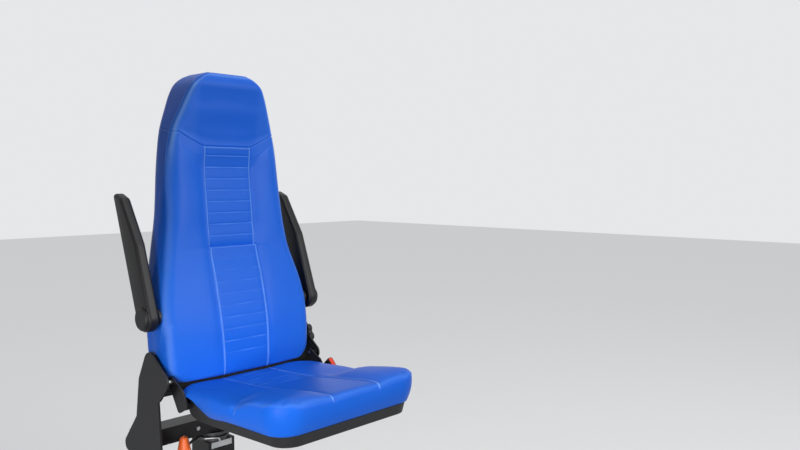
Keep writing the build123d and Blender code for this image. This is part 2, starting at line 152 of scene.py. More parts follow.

# %% [markdown]
# In the photograph the light falls in from the seat's front. The front of the back is evenly
# lit, the head cushion's side face is navy, the side of the seat cushion is as bright as its
# top, and every edge that faces the viewer carries a soft pale line. A wide key lamp in front
# and a wide top lamp light the blue. Two weak lamps with a narrow beam reach the cushion's side
# and the grip under it, and a small one beside the camera draws the pale lines, which a painted
# highlight in the vinyl strengthens. Area lamps are hidden from the camera, because other views
# look past them.

# %% Lamps
def lamp(name, place, target, size, watts, spread=180.0):
    """A square area lamp that faces its target. spread is its beam's full angle in degrees."""
    data = bpy.data.lights.new(name, "AREA")
    data.size = size
    data.energy = watts
    data.spread = radians(spread)
    made = bpy.data.objects.new(name, data)
    made.location = place
    made.rotation_euler = (Vector(target) - Vector(place)).to_track_quat("-Z", "Y").to_euler()
    made.visible_camera = False
    bpy.context.scene.collection.objects.link(made)
    return made


lamps = [
    lamp("key", (1.3, -3.3, 1.9), (0.0, -0.1, 0.8), 1.9, 79.0),
    lamp("top", (0.3, -0.9, 3.2), (0.0, -0.2, 0.5), 2.2, 33.0),
    lamp("low side", (-1.9, -1.1, 0.6), (-0.1, -0.40, 0.33), 0.8, 3.6, 50.0),
    lamp("edge", (-1.75, -2.1, 1.45), (0.0, 0.0, 0.9), 0.3, 1.5),
    lamp("under seat", (-1.5, -2.0, 0.4), (-0.17, 0.05, 0.22), 0.25, 0.7, 28.0),
]
print("lamps:", [one.name for one in lamps])

# %% [markdown]
# Every finish on this seat is a Principled shader with three things on top: a slow change of
# colour, a change of roughness, and a fine relief. One helper builds that chain, so each
# finish below is only a set of numbers. Texture coordinates are the object's own, in metres,
# so a scale of 700 is 700 grains in a metre. The vinyl has one thing more: its skins carry a
# painted highlight value at every point, which is high on seams, folds and edges, and a paler
# blue is painted there as a highlight. On the seams it is partly the pale thread as well.

# %% Finish helper
noise_low, noise_high = 0.35, 0.75
smoother, rougher = 0.06, 0.08


def finish(name, colour, worn, roughness, metallic=0.0, grain=700.0, relief=0.2, depth=0.0003,
           cells=False, patch=6.0, mottle=0.35, specular=0.5, highlight_tint=None):
    """A procedural material: two colours mottled, uneven roughness and a fine grain."""
    made = bpy.data.materials.new(name)
    made.use_nodes = True
    tree = made.node_tree
    shader = tree.nodes["Principled BSDF"]
    shader.inputs["Metallic"].default_value = metallic
    shader.inputs["Specular IOR Level"].default_value = specular
    place = tree.nodes.new("ShaderNodeTexCoord")
    slow = tree.nodes.new("ShaderNodeTexNoise")
    slow.inputs["Scale"].default_value = patch
    slow.inputs["Detail"].default_value = 5.0
    tree.links.new(place.outputs["Object"], slow.inputs["Vector"])
    mix = tree.nodes.new("ShaderNodeMix")
    mix.data_type = "RGBA"
    mix.inputs[6].default_value = colour
    mix.inputs[7].default_value = worn
    share = tree.nodes.new("ShaderNodeMapRange")
    share.inputs["From Min"].default_value = noise_low
    share.inputs["From Max"].default_value = noise_high
    share.inputs["To Max"].default_value = mottle
    tree.links.new(slow.outputs["Fac"], share.inputs["Value"])
    tree.links.new(share.outputs[0], mix.inputs[0])
    seen = mix.outputs[2]
    # The paler colour is a painted highlight, mixed in where the skin's painted highlight value is
    # high.
    if highlight_tint is not None:
        painted_highlight = tree.nodes.new("ShaderNodeAttribute")
        painted_highlight.attribute_name = "painted_highlight"
        paler = tree.nodes.new("ShaderNodeMix")
        paler.data_type = "RGBA"
        paler.inputs[7].default_value = highlight_tint
        tree.links.new(painted_highlight.outputs["Fac"], paler.inputs[0])
        tree.links.new(seen, paler.inputs[6])
        seen = paler.outputs[2]
    tree.links.new(seen, shader.inputs["Base Color"])
    rough = tree.nodes.new("ShaderNodeMapRange")
    rough.inputs["To Min"].default_value = roughness - smoother
    rough.inputs["To Max"].default_value = roughness + rougher
    tree.links.new(slow.outputs["Fac"], rough.inputs["Value"])
    tree.links.new(rough.outputs[0], shader.inputs["Roughness"])
    if cells:
        fine = tree.nodes.new("ShaderNodeTexVoronoi")
        fine.feature = "DISTANCE_TO_EDGE"
        height = fine.outputs["Distance"]
    else:
        fine = tree.nodes.new("ShaderNodeTexNoise")
        fine.inputs["Detail"].default_value = 4.0
        height = fine.outputs["Fac"]
    fine.inputs["Scale"].default_value = grain
    tree.links.new(place.outputs["Object"], fine.inputs["Vector"])
    bump = tree.nodes.new("ShaderNodeBump")
    bump.inputs["Strength"].default_value = relief
    bump.inputs["Distance"].default_value = depth
    tree.links.new(height, bump.inputs["Height"])
    tree.links.new(bump.outputs["Normal"], shader.inputs["Normal"])
    return made


# The vinyl's paler blue is a painted highlight on seams, folds and edges; on the seams it is partly
# the pale thread.
vinyl = finish("blue vinyl", tint(20, 92, 204), tint(28, 100, 212), 0.38, grain=620.0, cells=True,
               relief=0.3, depth=0.0004, mottle=0.5, specular=0.13, highlight_tint=tint(124, 172, 246))
moulded = finish("black moulded plastic", tint(20, 20, 22), tint(32, 32, 34), 0.5, grain=900.0,
                 cells=True, relief=0.3, specular=0.32)
foam = finish("black foam skin", tint(16, 16, 18), tint(30, 30, 32), 0.42, grain=520.0,
              relief=0.25, specular=0.28)
steel = finish("black painted steel", tint(14, 14, 16), tint(26, 26, 28), 0.4, grain=350.0,
               relief=0.15, specular=0.3)
zinc = finish("zinc plated steel", tint(176, 178, 180), tint(150, 150, 146), 0.34, metallic=1.0,
              grain=260.0, relief=0.12, patch=40.0, mottle=0.8)
oiled = finish("oiled turntable steel", tint(84, 84, 86), tint(52, 52, 52), 0.36, metallic=1.0,
               grain=260.0, relief=0.12, patch=40.0, mottle=0.8)
plate_grey = finish("bare grey plate", tint(168, 170, 172), tint(150, 152, 154), 0.5, grain=300.0,
                    relief=0.05)
red_press = finish("red press button", tint(226, 66, 36), tint(206, 54, 30), 0.32, grain=500.0,
                   relief=0.1)
orange_grip = finish("orange grip", tint(255, 112, 42), tint(250, 100, 36), 0.42, grain=500.0,
                     relief=0.15)
thread = finish("light blue thread", tint(96, 150, 236), tint(80, 134, 226), 0.6, grain=1500.0,
                relief=0.4)
print("finishes:", len(bpy.data.materials))

# %% [markdown]
# The hard parts keep their CAD shape. Each one only trades its plain material for the finish
# it has on the real seat, and the table below says which.

# %% Dress the hard parts
finish_of = {
    "base_plate": steel, "column": steel, "blank_plate": plate_grey,
    "turntable_lower": oiled, "turntable_upper": oiled, "carrier_beam": steel,
    "beam_bolt_left": zinc, "beam_bolt_right": zinc, "cheek_left": steel, "cheek_right": steel,
    "cross_tube": steel, "cheek_cover_left": moulded, "cheek_cover_right": moulded,
    "hinge_pin_left": zinc, "hinge_pin_right": zinc, "recline_knob": moulded,
    "buckle_stalk": steel, "buckle": moulded, "buckle_button": red_press,
    "swivel_lever": steel, "lever_grip": orange_grip, "latch_wire": zinc, "cushion_pan": moulded,
    "hinge_ear_left": steel, "hinge_ear_right": steel, "back_shell": moulded,
    "recline_pivot_left": steel, "recline_pivot_right": steel, "arm_pivot_left": steel,
    "arm_pivot_right": steel, "arm_cap_left": moulded, "arm_cap_right": moulded,
    "seat_cushion": vinyl, "back_cushion": vinyl, "armrest_left": foam, "armrest_right": foam,
}
for name, material in finish_of.items():
    slots = nodes[name].data.materials
    if len(slots) == 0:
        slots.append(material)
    for index in range(len(slots)):
        slots[index] = material
print("dressed", len(finish_of), "of", len(nodes), "CAD parts")

# %% [markdown]
# A cover is a closed skin of quads. It is built from arrays of points, so that every seam lies
# exactly on a line of points, which a remesh would not allow. These helpers make the object,
# find the outward direction at its points, and give the smooth curves that all the relief
# below is made of: a dip, a step, and a raised or sunk line beside a seam.

# %% Skin helpers
def skin(name, points, faces, material, body):
    """A smooth closed mesh from points in metres, which rides on a body of the frame."""
    mesh = bpy.data.meshes.new(name)
    mesh.from_pydata(np.asarray(points, float).reshape(-1, 3).tolist(), [], faces)
    mesh.polygons.foreach_set("use_smooth", [True] * len(mesh.polygons))
    mesh.materials.append(material)
    made = bpy.data.objects.new(name, mesh)
    bpy.context.scene.collection.objects.link(made)
    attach(made, body)
    print(name, "has", len(mesh.vertices), "points")
    return made


def ring_faces(rings, count):
    """The quads of a stack of rings, with a face over each end."""
    faces = []
    for k in range(rings - 1):
        low = k * count
        high = low + count
        for i in range(count):
            j = (i + 1) % count
            faces.append((low + i, low + j, high + j, high + i))
    faces.append(tuple(reversed(range(count))))
    faces.append(tuple(range((rings - 1) * count, rings * count)))
    return faces


def places_of(piece):
    """The points of a piece's mesh, as an array."""
    flat = np.empty(3 * len(piece.data.vertices))
    piece.data.vertices.foreach_get("co", flat)
    return flat.reshape(-1, 3)


def outward(piece):
    """The outward direction at every point of a piece."""
    flat = np.empty(3 * len(piece.data.vertices))
    piece.data.vertex_normals.foreach_get("vector", flat)
    return flat.reshape(-1, 3)


def press(piece, height, painted_highlight):
    """Moves every point along its outward direction, and stores its painted highlight value."""
    moved = places_of(piece) + outward(piece) * height[:, None]
    piece.data.vertices.foreach_set("co", moved.ravel())
    # The painted highlight is stored as a point attribute that the vinyl reads.
    paint = piece.data.attributes.new("painted_highlight", "FLOAT", "POINT")
    paint.data.foreach_set("value", np.clip(painted_highlight, 0.0, 1.0).astype(np.float32))
    piece.data.update()


def dip(distance, width):
    """A smooth dip of depth 1 at distance 0, which is gone at about twice its width."""
    return np.exp(-(distance / width) ** 2)


def rise(value, low, high):
    """A smooth step from 0 at low to 1 at high."""
    t = np.clip((value - low) / (high - low), 0.0, 1.0)
    return t * t * (3 - 2 * t)


def ridge(distance, shape):
    """A line beside a seam. shape is its size, sunk below 0, its place and its width."""
    size, place, width = shape
    return size * dip(distance - place, width)


def uneven(along, across, seed):
    """A slow wave between 0 and 1, which makes stitched folds start and stop by chance."""
    return 0.5 + 0.5 * np.sin(along * 61.0 + seed * 2.4) * np.sin(across * 83.0 + seed * 1.7 + 0.8)


# %% [markdown]
# Foam pushes a cover outwards between its seams. Blender's cloth does the same: the skin is
# blown up a little with air pressure and no gravity, while the stitched points are held. The
# swelling is then capped with a curve that never quite reaches its limit, so that nothing ends
# in a flat spot, and the result is written into the mesh. The cloth itself is taken off again.

# %% Swelling by cloth
def swell(piece, held, cap, pressure=4.0, frames=20):
    """Blows a closed skin up as cloth. held is 1 where a point is stitched or backed."""
    group = piece.vertex_groups.new(name="held")
    for index in np.flatnonzero(held > 0.02):
        group.add([int(index)], float(min(held[index], 1.0)), "REPLACE")
    cloth = piece.modifiers.new("cloth", "CLOTH")
    cloth.settings.vertex_group_mass = "held"
    cloth.settings.use_pressure = True
    cloth.settings.uniform_pressure_force = pressure
    cloth.settings.effector_weights.gravity = 0.0
    cloth.settings.quality = 4
    cloth.collision_settings.use_collision = False
    scene = bpy.context.scene
    for number in range(1, frames + 1):
        scene.frame_set(number)
    blown = piece.evaluated_get(bpy.context.evaluated_depsgraph_get()).data
    flat = np.empty(3 * len(blown.vertices))
    blown.vertices.foreach_get("co", flat)
    start = places_of(piece)
    moved = flat.reshape(-1, 3) - start
    far = np.maximum(np.linalg.norm(moved, axis=1, keepdims=True), 1e-9)
    moved *= cap * (1 - np.exp(-far / cap)) / far
    piece.modifiers.remove(cloth)
    piece.vertex_groups.remove(group)
    scene.frame_set(1)
    piece.data.vertices.foreach_set("co", (start + moved).ravel())
    piece.data.update()
    most = float(np.linalg.norm(moved, axis=1).max())
    print(piece.name, "swelled by up to", round(most * 1000, 1), "mm")


# %% [markdown]
# The back is a tall foam pad: wide at the hips, waisted at the shoulders, with the head cushion
# leaning forward at the top. Its sections follow the CAD ones: at each height there is a half
# width, a front, a rear and two corner radii. Between them a smooth curve runs instead of the
# CAD model's straight facets, and the head's rear corners are a little tighter.

# %% Sections of the back
# height, half width, front, rear, front corner radius, rear corner radius
back_sections = np.array([
    (0.460, 0.222, -0.030, 0.086, 0.026, 0.020),
    (0.475, 0.238, -0.032, 0.089, 0.027, 0.020),
    (0.500, 0.248, -0.034, 0.092, 0.028, 0.020),
    (0.575, 0.255, -0.030, 0.095, 0.030, 0.024),
    (0.640, 0.257, -0.020, 0.099, 0.030, 0.026),
    (0.700, 0.251, -0.006, 0.107, 0.030, 0.028),
    (0.830, 0.222, 0.025, 0.137, 0.030, 0.036),
    (0.930, 0.206, 0.034, 0.146, 0.028, 0.042),
    (1.060, 0.197, 0.046, 0.150, 0.026, 0.044),
    (1.160, 0.180, 0.048, 0.155, 0.026, 0.036),
    (1.240, 0.151, 0.035, 0.160, 0.024, 0.028),
    (1.280, 0.134, 0.0285, 0.162, 0.022, 0.024),
    (1.305, 0.119, 0.0245, 0.162, 0.020, 0.022),
    (1.326, 0.095, 0.029, 0.159, 0.018, 0.020),
    (1.338, 0.070, 0.040, 0.150, 0.014, 0.016),
])
back_low, back_high = back_sections[0, 0], back_sections[-1, 0]


def smooth_table(table, heights):
    """Every column of a table at the given heights, along a curve that never overshoots."""
    x = table[:, 0]
    out = []
    for column in range(1, table.shape[1]):
        y = table[:, column]
        step = np.diff(x)
        slope = np.diff(y) / step
        bend = np.zeros(len(x))
        for k in range(1, len(x) - 1):
            if slope[k - 1] * slope[k] > 0:
                bend[k] = 2 * slope[k - 1] * slope[k] / (slope[k - 1] + slope[k])
        bend[0] = slope[0]
        bend[-1] = slope[-1]
        k = np.clip(np.searchsorted(x, heights) - 1, 0, len(x) - 2)
        t = np.clip((heights - x[k]) / step[k], 0.0, 1.0)
        out.append(
            y[k] * (1 + 2 * t) * (1 - t) ** 2 + bend[k] * step[k] * t * (1 - t) ** 2
            + y[k + 1] * t * t * (3 - 2 * t) + bend[k + 1] * step[k] * t * t * (t - 1)
        )
    return out


print("the back is", round(back_high - back_low, 3), "m tall")

# %% [markdown]
# The cover's seams decide where the mesh needs its lines. Two upright seams bound a middle
# panel, cross stitches part it into pleats 34 mm high, one deep fold marks the top of the
# lumbar pad, and a V-shaped seam sets off the head cushion and runs on over the side faces.
# Columns of points follow the upright seams, and rows follow the pleats and the V.

# %% Seams of the back
pleat = 0.0337
fold_height = 0.827
vee_height = 1.124
upper_pleats = [fold_height + pleat * k for k in range(1, 9)]
lower_pleats = [fold_height - pleat * k for k in range(1, 11)]
seam_heights = [0.46, 0.62, 0.74, 0.81, 0.84, 1.13]
seam_halves = [0.0755, 0.0795, 0.0795, 0.0785, 0.0775, 0.0775]
vee_start, vee_run, vee_climb = 0.083, 0.087, 0.038
side_run, side_climb = 0.09, 0.024
beside_line = (-0.0085, -0.0055, -0.0036, -0.0022, -0.001, 0.0, 0.001, 0.0022, 0.0036, 0.0055,
               0.0085)
bottom_lines = (0.0, 0.0006, 0.002, 0.0045, 0.008)
head_start, head_pitch = 1.29, 0.003
row_start, row_pitch, row_gap = 0.012, 0.009, 0.005


def seam_half(height):
    """Half the width of the middle panel at a height."""
    return np.interp(height, seam_heights, seam_halves)


def vee_lift(side, depth):
    """How far the V seam has climbed at a distance from the middle, and round the side."""
    climbed = vee_climb * np.clip((side - vee_start) / vee_run, 0.0, 1.0)
    return climbed + side_climb * np.clip(depth / side_run, 0.0, 1.0)


def back_rows():
    """Heights of the rings: close together at each seam and at the ends, wider between."""
    sewn = (*upper_pleats, *lower_pleats, fold_height, vee_height)
    rows = {round(height + offset, 5) for height in sewn for offset in beside_line}
    rows |= {round(back_low + offset, 5) for offset in bottom_lines}
    rows |= {round(height, 5) for height in np.arange(head_start, back_high, head_pitch)}
    for height in np.arange(back_low + row_start, head_start, row_pitch):
        if min(abs(height - other) for other in rows) > row_gap:
            rows.add(round(float(height), 5))
    return np.array(sorted(rows))


row_heights = back_rows()
print("rows:", len(row_heights))

# %% [markdown]
# Each ring starts at the middle of the front and runs round the back cushion. The share of
# the points that each stretch gets is fixed, so a column always lies on the same seam. The
# lowest rings draw in to round the bottom edge, and above the last section a low crown of
# smaller rings closes the head cushion.

# %% Rings of the back
panel_steps = np.array([0.0, 0.12, 0.24, 0.36, 0.48, 0.6, 0.7, 0.79, 0.86, 0.91, 0.945, 0.97,
                        0.987, 1.0])
flank_steps = np.array([0.012, 0.028, 0.05, 0.085, 0.14, 0.21, 0.3, 0.4, 0.5, 0.6, 0.7, 0.8, 0.88,
                        0.94, 1.0])
corner_turns = np.array([0.12, 0.25, 0.38, 0.5, 0.62, 0.72, 0.79, 0.84, 0.88, 0.915, 0.95, 1.0])
side_steps = np.array([0.03, 0.08, 0.15, 0.28, 0.42, 0.56, 0.7, 0.85, 1.0])
rear_turns = np.linspace(0.15, 1.0, 6)
rear_steps = np.linspace(0.1, 1.0, 8)
end_round = 0.006
seam_clear = 0.012
level_count = 440
vee_reach, vee_corner = 0.075, 0.02
crown_shares = (0.03, 0.07, 0.13, 0.2, 0.3, 0.42, 0.56, 0.72, 0.88)
crown_rise = 0.0015


def half_ring(height):
    """Points round one half of the back, from the middle of the front to the middle of the rear."""
    section = smooth_table(back_sections, np.array([height]))
    half, front, rear, bend, turn = (float(value[0]) for value in section)
    near = min((height - back_low) / end_round, 1.0)
    drawn_in = end_round * (1 - (1 - (1 - near) ** 2) ** 0.5)
    half, front, rear = half - drawn_in, front + drawn_in, rear - drawn_in
    flat_end = half - bend
    seam = min(float(seam_half(height)), flat_end - seam_clear)
    side_end = rear - turn
    out = [(seam * s, front) for s in panel_steps]
    out += [(seam + (flat_end - seam) * s, front) for s in flank_steps]
    front_arc = [(bend * sin(pi / 2 * s), bend * cos(pi / 2 * s)) for s in corner_turns]
    out += [(flat_end + x, front + bend - y) for x, y in front_arc]
    out += [(half, front + bend + (side_end - front - bend) * s) for s in side_steps]
    rear_arc = [(turn * cos(pi / 2 * s), turn * sin(pi / 2 * s)) for s in rear_turns]
    out += [(half - turn + x, side_end + y) for x, y in rear_arc]
    out += [((half - turn) * (1 - s), rear) for s in rear_steps]
    return np.array(out)


def both_halves(right):
    """A whole ring from its right half, which starts and ends in the middle."""
    left = right[1:-1][::-1] * np.array([-1.0, 1.0, 1.0])
    return np.vstack([right, left])


def back_rings():
    """The rings of the back, with each point at its own height where the V seam climbs."""
    levels = np.linspace(back_low, back_high, level_count)
    halves = np.array([half_ring(level) for level in levels])
    rings = []
    for height in row_heights:
        base = half_ring(height)
        pull = dip(height - vee_height, vee_reach) * rise(back_high - height, 0.005, 0.055)
        lift = pull * vee_lift(base[:, 0], base[:, 1] - base[0, 1] - vee_corner)
        real = np.clip(height + lift, back_low, back_high)
        place = (real - back_low) / (back_high - back_low) * (len(levels) - 1)
        k = np.clip(place.astype(int), 0, len(levels) - 2)
        t = (place - k)[:, None]
        column = np.arange(len(base))
        across = halves[k, column] * (1 - t) + halves[k + 1, column] * t
        rings.append(both_halves(np.column_stack([across, real])))
    last = rings[-1]
    middle = last.mean(0)
    for share in crown_shares:
        ring = middle + (last - middle) * (1 - share)
        ring[:, 2] = last[:, 2] + crown_rise * sin(pi / 2 * min(1.0, 1.6 * share))
        rings.append(ring)
    return np.array(rings)


rings = back_rings()
ring_count, ring_points = rings.shape[:2]
back_faces = ring_faces(ring_count, ring_points)
back_cover = skin("back_cover", rings, back_faces, vinyl, "backrest")
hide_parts("back_cushion")
crown_rows = back_high + np.array(crown_shares)
back_row = np.repeat(np.concatenate([row_heights, crown_rows]), ring_points)

# %% [markdown]
# Now the back swells like foam. The seams, the bottom edge and everything that lies against
# the rear shell are held, and the flanks between them puff out.

# %% Swell the back
seam_hold, vee_hold = 0.014, 0.022
edge_facing, edge_hold = 0.17, 0.10
back_cap = 0.004


def back_terms():
    """What the relief of the back is measured by, at every point."""
    place = places_of(back_cover)
    facing = -outward(back_cover)[:, 1]
    side = np.abs(place[:, 0])
    rear = smooth_table(back_sections, np.clip(place[:, 2], back_low, back_high))[2]
    return place, facing, side, seam_half(place[:, 2]), rear


place, facing, side, seam, rear = back_terms()
below_vee = rise(vee_height - back_row, -0.001, 0.001)
front_side = rise(facing, 0.35, 0.8)
held = dip(side - seam, seam_hold) * below_vee * front_side
held = np.maximum(held, dip(back_row - vee_height, vee_hold))
held = np.maximum(held, dip(facing - edge_facing, edge_hold) * rise(place[:, 2], 0.95, 1.05))
held = np.maximum(held, rise(place[:, 1] - rear, -0.06, -0.03))
held = np.maximum(held, rise(0.50 - place[:, 2], 0.0, 0.03))
held = np.maximum(held, rise(place[:, 2], 1.22, 1.30))
held = np.maximum(held, rise(seam - side, -0.01, 0.01) * front_side * below_vee)
swell(back_cover, held, back_cap)

# %% [markdown]
# Then the stitched relief. The middle panel bulges over the lumbar pad and lies a little back
# between the shoulders. Upper pleats are fine lines between soft puffs, the lower ones only
# broken wrinkles. The upright seams are raised, the V seam is sunk, and a double seam runs
# along the head cushion's front edges. A painted highlight follows every raised line and the
# head cushion's front edges and corners. Each line is listed once by its size, its place beside
# the seam and its width, and only its size is a share of 1 where it stands for painted highlight.

# %% Lines of the back's relief
# Sizes that are shares of 1 are painted highlight beside a line; the others are relief in metres.
pleat_groove, pleat_puff = (-0.0006, 0.0014, 0.0018), (0.0005, -0.0012, 0.0018)
pleat_highlight = (0.32, -0.0006, 0.0013)
wrinkle_groove, wrinkle_puff = (-0.0005, 0.001, 0.0026), (0.0004, -0.002, 0.0024)
wrinkle_highlight = (0.15, -0.001, 0.0014)
fold_highlight = (0.35, -0.0012, 0.0016)
seam_ridge, seam_groove = (0.0014, 0.0010, 0.0021), (-0.0010, -0.0036, 0.0020)
seam_highlight = (0.62, 0.0009, 0.0017)
vee_groove, vee_ridge = (-0.0017, 0.0, 0.0013), (0.0005, 0.0045, 0.0030)
lumbar_bulge, shoulder_hollow = 0.006, 0.006
fold_step, fold_fade = 0.0085, 0.022
pad_edge_rise, pad_edge_fade = 0.0030, 0.030
puff_rise = 0.0003
print("relief of the back: the deepest step is", round(fold_step * 1000, 1), "mm")


# %% Relief of the back
def back_relief():
    """The height of the stitched relief and the painted highlight, at every point of the back."""
    place, facing, side, seam, rear = back_terms()
    z = place[:, 2]
    front_side = rise(facing, 0.35, 0.8)
    inside = rise(seam - side, -0.002, 0.004) * front_side
    height = lumbar_bulge * front_side * rise(0.83 - z, 0.0, 0.09) * rise(0.24 - side, 0.0, 0.16)
    hollow = rise(z, 0.83, 0.9) * rise(1.12 - z, 0.0, 0.06) * (1 - rise(side, 0.06, 0.17))
    height -= shoulder_hollow * front_side * hollow
    # Painted highlight: a paler blue along the pleats, wrinkles, fold, seams and V, and on the
    # head's front edges and corners.
    painted_highlight = np.zeros_like(z)
    for k, line in enumerate(upper_pleats):
        chance = 0.35 + 0.65 * uneven(place[:, 0], z, k)
        height += ridge(back_row - line, pleat_groove) * inside * below_vee
        height += ridge(back_row - line, pleat_puff) * inside * below_vee
        painted_highlight += chance * ridge(back_row - line, pleat_highlight) * inside * below_vee
    for k, line in enumerate(lower_pleats):
        chance = 0.25 + 0.75 * rise(uneven(place[:, 0], z, k + 20), 0.3, 0.8)
        chance *= rise(z, 0.485, 0.52)
        height += chance * ridge(back_row - line, wrinkle_groove) * inside
        height += chance * ridge(back_row - line, wrinkle_puff) * inside
        painted_highlight += chance * ridge(back_row - line, wrinkle_highlight) * inside
    phase = ((back_row - fold_height) / pleat) % 1.0
    height += puff_rise * np.sin(np.pi * phase) * inside * below_vee * rise(z, 0.475, 0.5)
    over = rise(back_row - fold_height, -0.0012, 0.0012)
    near_panel = front_side * (1 - rise(side - seam, -0.001, 0.007))
    above = np.exp(-np.clip(back_row - fold_height, 0, 1) / fold_fade)
    height -= fold_step * over * above * near_panel
    pad_edge = (1 - over) * np.exp(-np.clip(fold_height - back_row, 0, 1) / pad_edge_fade)
    height += pad_edge_rise * pad_edge * front_side * (1 - rise(side - seam, 0.01, 0.06))
    painted_highlight += ridge(back_row - fold_height, fold_highlight) * near_panel
    upright = below_vee * front_side
    height += (ridge(side - seam, seam_ridge) + ridge(side - seam, seam_groove)) * upright
    painted_highlight += ridge(side - seam, seam_highlight) * upright
    before = 1 - rise(place[:, 1] - rear, -0.05, -0.03)
    height += ridge(back_row - vee_height, vee_groove) * before
    height += ridge(back_row - vee_height, vee_ridge) * before
    top_line = dip(back_row - vee_height + 0.0036, 0.0014) * front_side
    top_line *= rise(seam - side, -0.004, 0.0)
    height += 0.0012 * top_line
    painted_highlight += 0.45 * top_line
    vee_light = dip(back_row - vee_height + 0.0010, 0.0012) * before
    painted_highlight += vee_light * (0.12 + 0.25 * rise(0.35 - facing, 0.0, 0.2))
    # Painted highlight on the head cushion's front edges, corners and top edge, beside a small
    # raised and sunk line.
    forward = rise(0.10 - place[:, 1], 0.0, 0.02)
    edge = dip(facing - edge_facing, 0.05) * forward * rise(z, 0.97, 1.12)
    height += 0.0011 * edge
    height -= 0.0008 * dip(facing - 0.40, 0.07) * forward * rise(z, 0.97, 1.12)
    painted_highlight += 0.50 * edge
    corner_highlight = dip(facing - 0.64, 0.22) * forward * (1 - rise(z, 1.29, 1.33))
    painted_highlight += (0.20 + 0.52 * rise(z, 1.04, 1.16)) * corner_highlight * rise(side, 0.09, 0.12)
    painted_highlight += 0.34 * rise(z, 1.285, 1.30) * dip(facing - 0.66, 0.19) * forward
    return height, painted_highlight


press(back_cover, *back_relief())
print("relief pressed into", ring_count, "rings of", ring_points, "points")

# %% [markdown]
# Behind the cover lies the moulded shell. The CAD shell is made of straight facets, so a
# smooth one takes its place: the same rings, which stand proud of the cover along the rear
# only. Further forward they run inside the cover. Below the cover's bottom edge hangs a black
# lip, so that no light shows between the back and the seat. It keeps behind the seat's rear
# edge and in front of the cross tube, also when the back reclines.

# %% Smooth back shell
shell_proud, shell_under = 0.0024, 0.006
shell_columns = 11
shell_deep = 0.045
lip_drop, lip_inset = 0.030, 0.010
lip_front, lip_rear = 0.016, 0.060
shell_pitch = 0.006


def shell_ring(level):
    """The shell's outline at one height, from the middle of its front and round."""
    half = half_ring(max(level, back_low + end_round))
    ring = both_halves(np.column_stack([half, np.full(len(half), level)]))
    rear = ring[:, 1].max()
    chord = np.roll(ring, -1, 0) - np.roll(ring, 1, 0)
    out = np.column_stack([chord[:, 1], -chord[:, 0], np.zeros(len(ring))])
    out /= np.linalg.norm(out, axis=1, keepdims=True)
    from_rear = len(half) - 1 - np.arange(len(half))
    behind = np.where(from_rear < shell_columns, 1.0, 0.0)
    behind = np.concatenate([behind, behind[1:-1][::-1]])
    grow = behind * (shell_under + shell_proud) - shell_under
    if level < back_low:
        ring -= out * lip_inset
        ring[:, 1] = np.clip(ring[:, 1], lip_front, lip_rear)
        return ring
    ring += out * grow[:, None]
    ring[:, 1] = np.maximum(ring[:, 1], rear - shell_deep)
    return ring


shell_levels = [back_low - lip_drop, back_low - 0.0001]
shell_levels += list(np.arange(back_low + 0.001, back_high, shell_pitch))
shell = np.array([shell_ring(level) for level in shell_levels])
shell_faces = ring_faces(*shell.shape[:2])
back_panel = skin("back_panel", shell, shell_faces, moulded, "backrest")
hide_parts("back_shell")

# %% [markdown]
# The seat cushion is a rounded square in plan. Its top has a flat middle panel that runs right
# through to the front edge, and thigh bolsters on both sides of it that start half way. One
# grid of quads covers the top: its lines are spaced close together at the seams and at the
# edges, and its corners are rounded by drawing each corner square onto a quarter disc.
# The side wall hangs from the grid's edge, and smaller rings close the underside in the pan.

# %% Profiles of the cushion
cushion_low, cushion_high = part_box("seat_cushion")
cushion_half = cushion_high[0]
cushion_front, cushion_rear = cushion_low[1], cushion_high[1]
cushion_corner = 0.073
panel_half = 0.081
wall_inset = 0.003
wall_wider = 0.008
top_round = 0.014
# along the seat, height
rim_profile = np.array([(-0.517, 0.415), (-0.281, 0.409), (-0.184, 0.400), (-0.148, 0.411),
                        (-0.105, 0.441), (-0.022, 0.446)])
side_profile = np.array([(-0.517, 0.488), (-0.490, 0.495), (-0.454, 0.497), (-0.400, 0.492),
                         (-0.350, 0.484), (-0.325, 0.477), (-0.306, 0.468), (-0.290, 0.4635),
                         (-0.150, 0.457), (-0.022, 0.452)])
panel_profile = np.array([(-0.517, 0.487), (-0.490, 0.491), (-0.454, 0.489), (-0.394, 0.482),
                          (-0.310, 0.471), (-0.233, 0.462), (-0.150, 0.456), (-0.022, 0.451)])
seat_pleats = [-0.056 - 0.034 * k for k in range(6)]
notch_x, notch_y = 0.232, -0.303
bolster_folds = (radians(14.0), radians(38.0), radians(66.0))
bolster_middle, bolster_width = 0.165, 0.060
front_crown, rear_crown, panel_crown = 0.0045, 0.0025, 0.0020


def along_profile(profile, y):
    """A profile's height at a place along the seat, on a smooth curve."""
    return smooth_table(profile, np.asarray(y, float))[0]


def top_height(x, y):
    """The height of the cushion's top, before its seams."""
    ax = np.abs(x)
    side = along_profile(side_profile, y + 0.030 * rise(ax, 0.18, 0.24))
    middle = along_profile(panel_profile, y)
    height = middle + (side - middle) * rise(ax, panel_half - 0.002, panel_half + 0.045)
    height += front_crown * dip(ax - bolster_middle, bolster_width) * rise(-y, 0.29, 0.36)
    height += rear_crown * dip(ax - bolster_middle, bolster_width) * rise(y, -0.28, -0.22)
    return height + panel_crown * np.cos(np.clip(x / panel_half, -1, 1) * pi / 2)


print("cushion plan is", round(2 * cushion_half, 3), "by", round(cushion_rear - cushion_front, 3))

# %% [markdown]
# Grid lines are listed from an edge inwards. The same list serves both edges of a direction,
# and seam lines are added where the panel and the pleats are.

